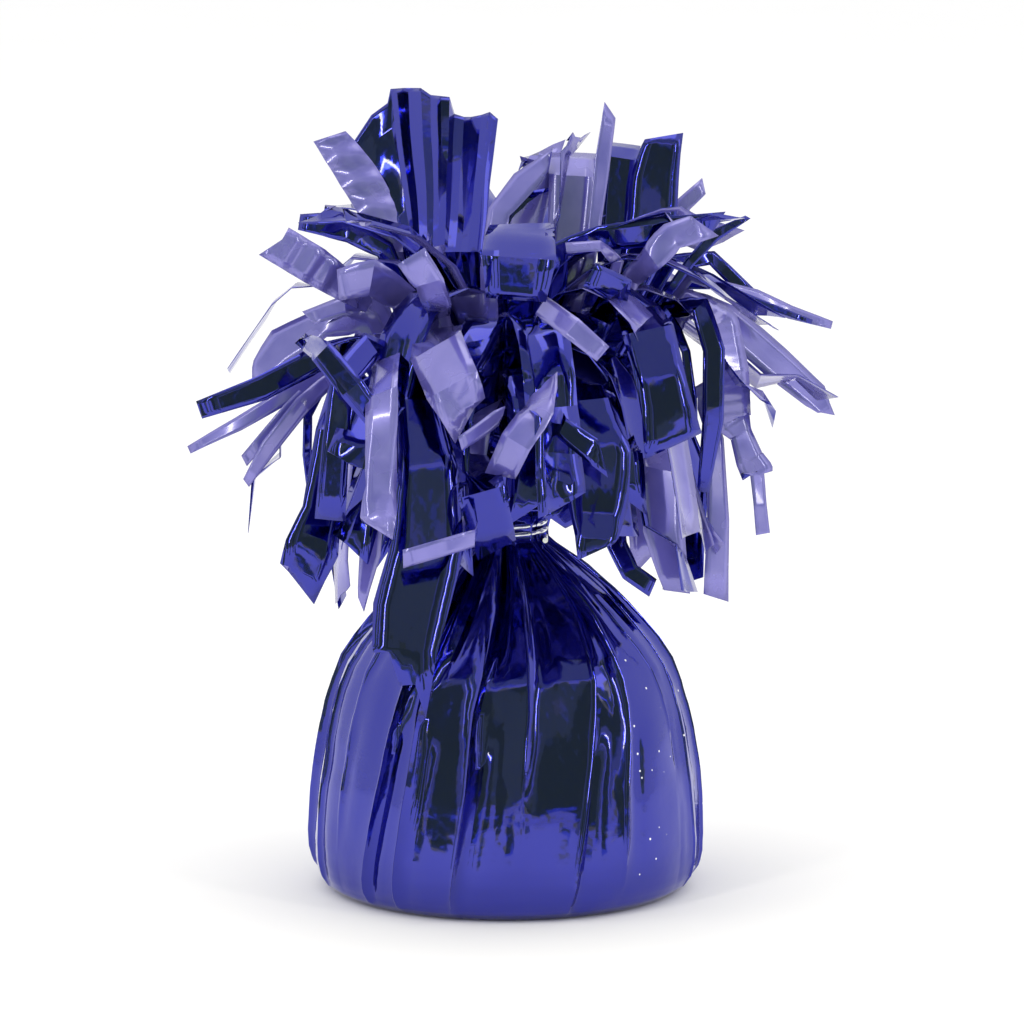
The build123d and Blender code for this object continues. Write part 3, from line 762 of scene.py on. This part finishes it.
def bend_along(start, heading, facing, steps):
    """Points and facings of a strip that goes on by steps of length, bend, swing and twist, in radians."""
    points, facings = [start.copy()], [facing.copy()]
    point = start.copy()
    heading = heading.copy()
    facing = facing.copy()
    turned = 0.0
    for length, bend, swing, twist in steps:
        across = heading.cross(facing)
        heading = Matrix.Rotation(bend, 3, across) @ heading
        facing = Matrix.Rotation(bend, 3, across) @ facing
        heading = Matrix.Rotation(swing, 3, facing) @ heading
        facing = (facing - heading * facing.dot(heading)).normalized()
        turned += twist
        point = point + heading * length
        points.append(point.copy())
        facings.append(Matrix.Rotation(turned, 3, heading) @ facing)
    return points, facings


def spread(draw, reach):
    """A random value up to a reach either way."""
    return draw.uniform(-1, 1) * reach


def route_steps(draw, stem, bend, turn, tail, twist, fold, wildness):
    """Steps of a strip: up its stem, round its bend and along its folded tail, with small folds."""
    steps = [(stem / root_steps, 0, 0, 0)] * root_steps
    bend_steps = max(3, round(turn / math.radians(bend_step)))
    each = turn / bend_steps
    swing = spread(draw, math.radians(swing_reach)) * wildness
    for i in range(bend_steps):
        late = max(0.0, (i + 1) / bend_steps - twist_start) - max(0.0, i / bend_steps - twist_start)
        bent = each / 2 if i == 0 else each
        length = 2 * bend * math.sin(each / 2)
        steps.append((length, bent, swing / bend_steps, twist / 2 * late / twist_span))
    for bent, twisted in ((each / 2, 0.125), (0, 0.125), (fold, 0.083), (0, 0.083), (0, 0.083)):
        steps.append((tail / tail_steps, bent, swing / tail_steps, twist * twisted))
    for _ in range(draw.choice((0, 1, 1, 2))):
        at = draw.randrange(4, len(steps) - 1)
        kink = draw.choice((-1, 1)) * math.radians(draw.uniform(*kink_reach)) * wildness
        roll = spread(draw, math.radians(roll_reach)) * wildness
        length, bent, swung, twisted = steps[at]
        steps[at] = (length, bent + kink, swung, twisted + roll)
        length, bent, swung, twisted = steps[at + 1]
        steps[at + 1] = (length, bent - kink * draw.uniform(0.7, 1.1), swung, twisted - roll * 0.5)
    return steps


def layer_radius(layer):
    """Radius at which a layer of strips stands on its bunch's root."""
    return neck_top_radius - root_reach * (layer + 0.5) / len(layer_stems)


def bunch_strips(index):
    """Spines of the strips of one bunch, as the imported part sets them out."""
    draw = random.Random(scatter_seed + index)
    loose = random.Random(loose_seed + index)
    spines = Spines()
    for side in range(2):
        wedge = 2 * index + side
        tail_share = wedge_tail_shares[wedge]
        middle = bunch_angle * index + wedge_angle * (side - 0.5)
        front_share = wedge_front_shares[wedge]
        stem_scale = 1 + spread(draw, scatter_stem)
        bend_scale = 1 + spread(draw, scatter_bend)
        wedge_twist = spread(draw, scatter_twist)
        wedge_fold = spread(draw, scatter_fold)
        for layer in range(len(layer_stems)):
            turn = layer_turns[layer] + front_share * (front_turns[layer] - layer_turns[layer])
            turn += spread(draw, scatter_turn)
            tail = layer_tails[layer] * tail_share * (1 + spread(draw, scatter_tail))
            shift = spread(draw, scatter_azimuth)
            width = strip_width * (1 + spread(draw, scatter_width))
            twist = wedge_twist + spread(draw, scatter_layer_twist)
            if layer not in kept_layers[wedge]:
                continue
            usual = (turn, tail, wedge_fold * turn / full_turn)
            turn, tail, fold = lone_strips.get((wedge, layer), usual)
            out = outward(middle + shift)
            start = out * layer_radius(layer) + Vector((0, 0, root_top - root_depth))
            bend = layer_bends[layer] + front_share * (front_bends[layer] - layer_bends[layer])
            steps = route_steps(
                loose,
                stem_scale * layer_stems[layer] * mm + root_depth,
                bend_scale * bend * mm,
                math.radians(turn),
                tail * mm,
                -math.radians(twist),
                math.radians(fold),
                loose_wildness,
            )
            points, facings = bend_along(start, Vector((0, 0, 1)), out, steps)
            count = len(points)
            widths = [width * min(1.0, 0.55 + 1.2 * i / count) for i in range(count)]
            spines.add(
                points,
                facings,
                widths,
                curl=loose.uniform(-0.2, 0.25),
                fold=loose.choice((0, 0, 0, 0.25, -0.25)),
                skew=loose.uniform(-0.5, 0.5),
                turned=loose.random() < violet_shares[index],
            )
    return spines


def add_core(spines, index):
    """Short creased strips that fill the heart of a bunch."""
    draw = random.Random(core_seed + index)
    for _ in range(core_strips):
        out = outward(bunch_angle * index + draw.uniform(-32, 32))
        start = out * draw.uniform(3.5, 7.5) * mm + Vector((0, 0, root_top - root_depth))
        stem = draw.uniform(6, 26) * mm
        turn = math.radians(draw.uniform(50, 150))
        bend = draw.uniform(5, 9) * mm
        tail = draw.uniform(5, 15) * mm
        twist = math.radians(draw.uniform(-60, 60))
        steps = route_steps(draw, stem, bend, turn, tail, twist, 0.0, core_wildness)
        points, facings = bend_along(start, Vector((0, 0, 1)), out, steps)
        width = draw.uniform(5, 9) * mm
        widths = [width * min(1.0, 0.6 + i / len(points)) for i in range(len(points))]
        turned = draw.random() < violet_shares[index]
        curl = draw.uniform(-0.2, 0.2)
        skew = draw.uniform(-0.6, 0.6)
        spines.add(points, facings, widths, curl=curl, skew=skew, turned=turned)


def lean_facing(lean_right, lean_up):
    """A face's direction: towards the camera, leaning by angles in degrees to the right and up."""
    place, right, up, forward = camera_axes()
    sideways = math.tan(math.radians(lean_right)) * right
    upwards = math.tan(math.radians(lean_up)) * up
    return (sideways + upwards - forward).normalized()


def smooth_line(points, steps):
    """A line through points with rounded corners, in so many steps between two of them."""
    line = []
    last = len(points) - 1
    for i in range(last):
        before, start = points[max(i - 1, 0)], points[i]
        end, after = points[i + 1], points[min(i + 2, last)]
        for step in range(steps):
            u = step / steps
            place = 2 * start + (end - before) * u
            place += (2 * before - 5 * start + 4 * end - after) * u**2
            place += (3 * start - before - 3 * end + after) * u**3
            line.append(0.5 * place)
    line.append(points[-1])
    return line


def straight_line(points, steps):
    """A line straight from point to point, in so many steps between two of them."""
    line = []
    for start, end in zip(points, points[1:]):
        line += [start + (end - start) * (i / steps) for i in range(steps)]
    return line + [points[-1]]


def rooted_line(values, steps):
    """Values along a shown strip: rounded from its root to its first shown point, then straight."""
    return smooth_line(values[:3], root_steps)[:-1] + straight_line(values[2:], steps)


def add_shown_strip(spines, bunch, face, skew, rows):
    """A strip that the photograph shows: from the neck's top up through the core and along its pixels."""
    places = [photo_point(px, py, depth) for px, py, depth, width, right, up in rows]
    first = Vector((places[0].x, places[0].y, 0))
    if bunch == "crown":
        out = first.normalized()
        root = crown_root_radius
    else:
        out = outward(bunch_angle * bunch_names.index(bunch))
        root = shown_root_radius
    start = out * root * mm + Vector((0, 0, root_top - root_depth))
    inner = first * 0.5 + out * 0.5 * root * mm
    inner.z = max(root_top + root_rise, (start.z + places[0].z) / 2)
    shown = [lean_facing(right, up) for px, py, depth, width, right, up in rows]
    upright = (places[0] - inner).rotation_difference(Vector((0, 0, 1))) @ shown[0]
    rooted = Vector((upright.x, upright.y, 0)).normalized()
    widths = [rows[0][3] * share * pixel for share in root_width_shares]
    for row, facing in zip(rows, shown):
        widths.append(row[3] * pixel / max(least_facing, facing.dot(lean_facing(0, 0))))
    steps = ripple_steps if face in ripples else plain_steps
    points = rooted_line([start, inner] + places, steps)
    facings = rooted_line([rooted, rooted] + shown, steps)
    sizes = rooted_line([Vector((width, 0, 0)) for width in widths], steps)
    faced = []
    for i, facing in enumerate(facings):
        along = (points[min(i + 1, len(points) - 1)] - points[max(i - 1, 0)]).normalized()
        faced.append((facing - along * facing.dot(along)).normalized())
    if face in ripples:
        height, pitch, share = ripples[face]
        run = 0.0
        for i in range(2 * root_steps, round(share * len(points))):
            run += (points[i] - points[i - 1]).length
            points[i] = points[i] + faced[i] * height * math.sin(2 * math.pi * run / pitch)
    spines.add(
        points,
        faced,
        [size.x for size in sizes],
        skew=skew,
        notch=notch_depth if rows[-1][3] >= notched_width else 0.0,
        loose=shown_looseness,
        turned=face != "front",
    )


def add_fringe(name, spines, seed, body, nodes, tree, material, back):
    """Strips on their body: those of the spines, and those that the photograph shows."""
    for face, skew, *rows in shown_strips[name]:
        add_shown_strip(spines, name, face, skew, rows)
    mesh = sweep_strips(f"{name}_fringe", spines, tree, seed, material)
    piece = add_piece(f"{name}_fringe", mesh, material, body, nodes)
    thicken(piece, back)
    return piece


def make_bunch(index, tree, material, back):
    """The strips of one bunch, on its body."""
    name = bunch_names[index]
    spines = bunch_strips(index)
    add_core(spines, index)
    nodes = [f"{name}_root"] + [f"{name}_{tier}_strips" for tier in tiers]
    return add_fringe(name, spines, index, f"{name}_bunch", nodes, tree, material, back)


def make_crown(tree, material, back):
    """The strips that stand in the middle."""
    return add_fringe("crown", Spines(), crown_seed, "weight", ("crown_strips",), tree, material, back)


# The fan's folds from the left: top pixel across and down, how far it stands back, and foot pixel across
fan_folds = (
    (314, 142, -1.0, 381), (345, 131, 0.5, 402), (348, 145, 1.5, 405), (353, 144, 1.1, 406),
    (371, 115, 0.2, 409), (389, 103, -0.7, 413), (390, 89, -0.7, 414), (403, 88, 1.2, 418),
    (407, 88, -0.2, 421), (421, 88, 1.6, 428), (430, 95, 0.6, 433), (441, 96, 2.0, 439),
    (450, 97, 0.8, 445), (454, 114, 1.6, 448), (463, 117, 0.2, 454), (471, 117, 2.0, 461),
    (481, 115, 0.6, 468), (490, 112, 1.8, 476), (498, 119, -0.6, 482),
)
fan_foot_py = 252
fan_depths = (14.0, 13.0)
fan_foot_depth = 6.5
fan_foot_share = 0.25
fan_foot_stand = 0.4
fan_root = (-3.4, 5.9)
fan_root_width = 6
fan_curve = 1.2
fan_wave = 0.4
fan_rows = 44
flap_start = 0.15
flap_lag = 0.15
flap_ripple = 0.3 * mm
flap_ripples = 4.5
flap_bulge = 16
flap_turns = (19.5, 27.5)


def fan_rise(share):
    """The share of the way from the fan's foot to its top, at a share of the way from its root."""
    return (share - fan_foot_share) / (1 - fan_foot_share)


def fold_point(i, share):
    """A point of one of the fan's folds, at a share of the way from its root to its top."""
    left, right = fan_folds[0][0], fan_folds[-1][0]
    top_x, top_y, stand, foot_x = fan_folds[i]
    back_by = fan_depths[0] + fan_depths[1] * (top_x - left) / (right - left) + stand
    low = photo_point(foot_x, fan_foot_py, fan_foot_depth + fan_foot_stand * stand)
    if share < fan_foot_share:
        foot = Vector((fan_root[0] * mm, fan_root[1] * mm, root_top - root_depth))
        across = (i / (len(fan_folds) - 1) - 0.5) * fan_root_width * mm
        root = foot + Vector((across, fan_foot_stand * stand * mm, 0))
        return root.lerp(low, share / fan_foot_share)
    rise = fan_rise(share)
    place = low.lerp(photo_point(top_x, top_y, back_by), rise)
    place.y += math.sin(math.pi * rise) * fan_curve * mm
    if i == 1:
        place.x += flap_bulge * pixel * math.sin(math.pi * rise)
    return place


def make_fan(material, back):
    """The film left whole at the back left: sharp pleats up to a ragged top, and a rippled flap."""
    columns = len(fan_folds)
    verts, faces = [], []
    for row in range(fan_rows + 1):
        share = row / fan_rows
        rise = fan_rise(share)
        for i in range(columns):
            place = fold_point(i, share)
            if i < 2 and rise > 0:
                if i == 0:
                    edge = fold_point(1, share)
                    turn = math.radians(flap_turns[0] + rise * (flap_turns[1] - flap_turns[0]))
                    turned = edge.y - math.tan(turn) * (edge.x - place.x)
                    place.y += min(1.0, rise / flap_start) * (turned - place.y)
                place.y += flap_ripple * math.sin(2 * math.pi * (flap_ripples * rise + flap_lag * i))
            wave = noise.noise(Vector((i * 0.9, share * 3.0, 1.7))) * fan_wave * mm
            verts.append(place + Vector((wave, wave, 0)))
    for row in range(fan_rows):
        for i in range(columns - 1):
            first = row * columns + i
            faces.append((first, first + 1, first + columns + 1, first + columns))
    mesh = smooth_mesh("pleated_fan", verts, faces, crease_angle)
    faces_shown = [1 if i % (columns - 1) == 0 else 0 for i in range(len(faces))]
    mesh.polygons.foreach_set("material_index", faces_shown)
    piece = add_piece("pleated_fan", mesh, material, "back_left_bunch", ("back_left_fan",))
    thicken(piece, back)
    return piece


# Studio

# Lamps: place, width and height, and the brightness of the face
lamp_colour = (1.0, 0.96, 0.84)
lamp_target = (0, 0, 0.08)
lamps = {
    "left_lamp": ((-0.9, -0.35, 0.6), (0.5, 0.5), 1.4),
    "right_lamp": ((0.9, -0.2, 0.7), (0.45, 0.45), 1.2),
    "top_lamp": ((0.0, 0.1, 1.1), (0.6, 0.6), 1.2),
    "left_tube": ((-0.42, -0.52, 0.42), (0.025, 0.55), 20.0),
    "right_tube": ((0.56, -0.46, 0.40), (0.025, 0.5), 20.0),
}
floor_side = 3.0


def add_card(name, corners, material, shown):
    """A flat card of the studio."""
    mesh = bpy.data.meshes.new(name)
    mesh.from_pydata([Vector(corner) for corner in corners], [], [tuple(range(len(corners)))])
    mesh.materials.append(material)
    card = add_object(name, mesh)
    card.visible_camera = shown
    return card


def add_lamp(name, place, size, strength):
    """A soft area lamp, its strength the brightness of its face."""
    data = bpy.data.lights.new(name, "AREA")
    data.shape = "RECTANGLE"
    data.size, data.size_y = size
    data.energy = strength * math.pi * size[0] * size[1]
    data.color = lamp_colour
    lamp = add_object(name, data)
    lamp.location = place
    lamp.rotation_euler = (Vector(lamp_target) - Vector(place)).to_track_quat("-Z", "Y").to_euler()


# Dark cards round the camera's side that only reflections see. Standing ones have their left and right
# azimuth from the front in degrees, foot, top and shade; those on the floor their azimuths, nearer reach and
# shade
flag_panels = (
    (-84, -76, 0.04, 0.95, "flag_mid"),
    (-74, -66, 0.00, 0.95, "flag_deep"),
    (-64, -58, 0.03, 0.95, "flag_pale"),
    (-58, -44, 0.00, 0.95, "flag_deep"),
    (-44, -38, 0.06, 0.80, "flag_pale"),
    (-38, -30, 0.01, 0.95, "flag_deep"),
    (-30, -21, 0.07, 0.95, "flag_mid"),
    (-21, -10, 0.00, 0.95, "flag_deep"),
    (-10, 4, 0.04, 0.95, "flag_mid"),
    (4, 9, 0.00, 0.85, "flag_pale"),
    (9, 26, 0.05, 0.95, "flag_deep"),
    (26, 33, 0.01, 0.90, "flag_mid"),
    (33, 38, 0.08, 0.75, "flag_pale"),
    (40, 52, 0.00, 0.95, "flag_deep"),
    (54, 60, 0.05, 0.95, "flag_pale"),
    (60, 72, 0.01, 0.95, "flag_deep"),
    (74, 80, 0.06, 0.95, "flag_mid"),
)
floor_flags = (
    (-70, -60, 0.13, "flag_deep"),
    (-52, -46, 0.30, "flag_deep"),
    (-36, -31, 0.20, "flag_mid"),
    (-16, -11, 0.24, "flag_deep"),
    (-5, 1, 0.12, "flag_deep"),
    (12, 20, 0.26, "flag_mid"),
    (38, 47, 0.17, "flag_deep"),
    (62, 68, 0.22, "flag_deep"),
)
flag_shades = {
    "flag_deep": (0.16, 0.24, 0.06, 1),
    "flag_mid": (0.28, 0.38, 0.13, 1),
    "flag_pale": (0.42, 0.48, 0.36, 1),
}
flag_distance = 0.8
flag_lift = 0.001

# Roughness, scale and height of the grain of paper
paper_grain = (0.9, 8.0, 0.0)

# The dark card overhead: its left and right edge, and the depth and height of its front and its back
roof_sides = (-0.9, 0.86)
roof_front = (-0.7, 0.96)
roof_back = (-0.32, 1.14)


def studio_point(azimuth, share, height):
    """A point round the camera's side: azimuth from the front, share of the cards' distance, and height."""
    turned = math.radians(azimuth)
    reach = share * flag_distance
    return (reach * math.sin(turned), -reach * math.cos(turned), height + flag_lift)


def add_studio():
    """White sweep and surroundings, dark cards on the camera's side, and soft lamps beside and above."""
    world = bpy.data.worlds.new("white_room")
    world.use_nodes = True
    world.node_tree.nodes["Background"].inputs["Color"].default_value = (1, 1, 1, 1)
    world.node_tree.nodes["Background"].inputs["Strength"].default_value = 1.0
    bpy.context.scene.world = world
    paper = plain_material("studio_paper", (1.0, 1.0, 1.0, 1), (0.98, 0.98, 0.98, 1), *paper_grain)
    side = floor_side
    add_card("floor", ((-side, -side, 0), (side, -side, 0), (side, side, 0), (-side, side, 0)), paper, True)
    shades = {}
    for name, colour in flag_shades.items():
        shades[name] = plain_material(name, colour, colour, *paper_grain)
    cards = []
    for i, (left, right, foot, top, shade) in enumerate(flag_panels):
        places = ((left, 1, foot), (right, 1, foot), (right, 1, top), (left, 1, top))
        corners = [studio_point(*place) for place in places]
        cards.append(add_card(f"flag_{i}", corners, shades[shade], False))
    for i, (left, right, reach, shade) in enumerate(floor_flags):
        near = reach / flag_distance
        places = ((left, near, 0), (left, 1, 0), (right, 1, 0), (right, near, 0))
        corners = [studio_point(*place) for place in places]
        cards.append(add_card(f"floor_flag_{i}", corners, shades[shade], False))
    left, right = roof_sides
    corners = ((left, *roof_front), (right, *roof_front), (right, *roof_back), (left, *roof_back))
    cards.append(add_card("flag_roof", corners, shades["flag_pale"], False))
    for card in cards:
        card.visible_diffuse = False
        card.visible_shadow = False
    for name, (place, size, strength) in lamps.items():
        add_lamp(name, place, size, strength)


def main():
    scene = bpy.context.scene
    scene.view_settings.view_transform = "Standard"
    add_camera()
    add_studio()
    film = film_material("violet_film")
    wrap_film = film_material("violet_wrap", painted_glints=True)
    back = back_material()
    plastic = plain_material("jar_plastic", *plastic_colours, *plastic_grain)
    sand = plain_material("ballast_sand", *sand_colours, *sand_grain)
    inside = {"weight_jar": plastic, "jar_cap": plastic, "sand_fill": sand, "wire_tie": wire_material()}
    for name, material in inside.items():
        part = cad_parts[name]
        part.data.materials.clear()
        part.data.materials.append(material)
    wrap = make_wrap(wrap_film)
    thicken(wrap)
    tree = strip_tree()
    fringe = [make_bunch(index, tree, film, back) for index in range(len(bunch_names))]
    fringe += [make_crown(tree, film, back), make_fan(film, back)]


main()
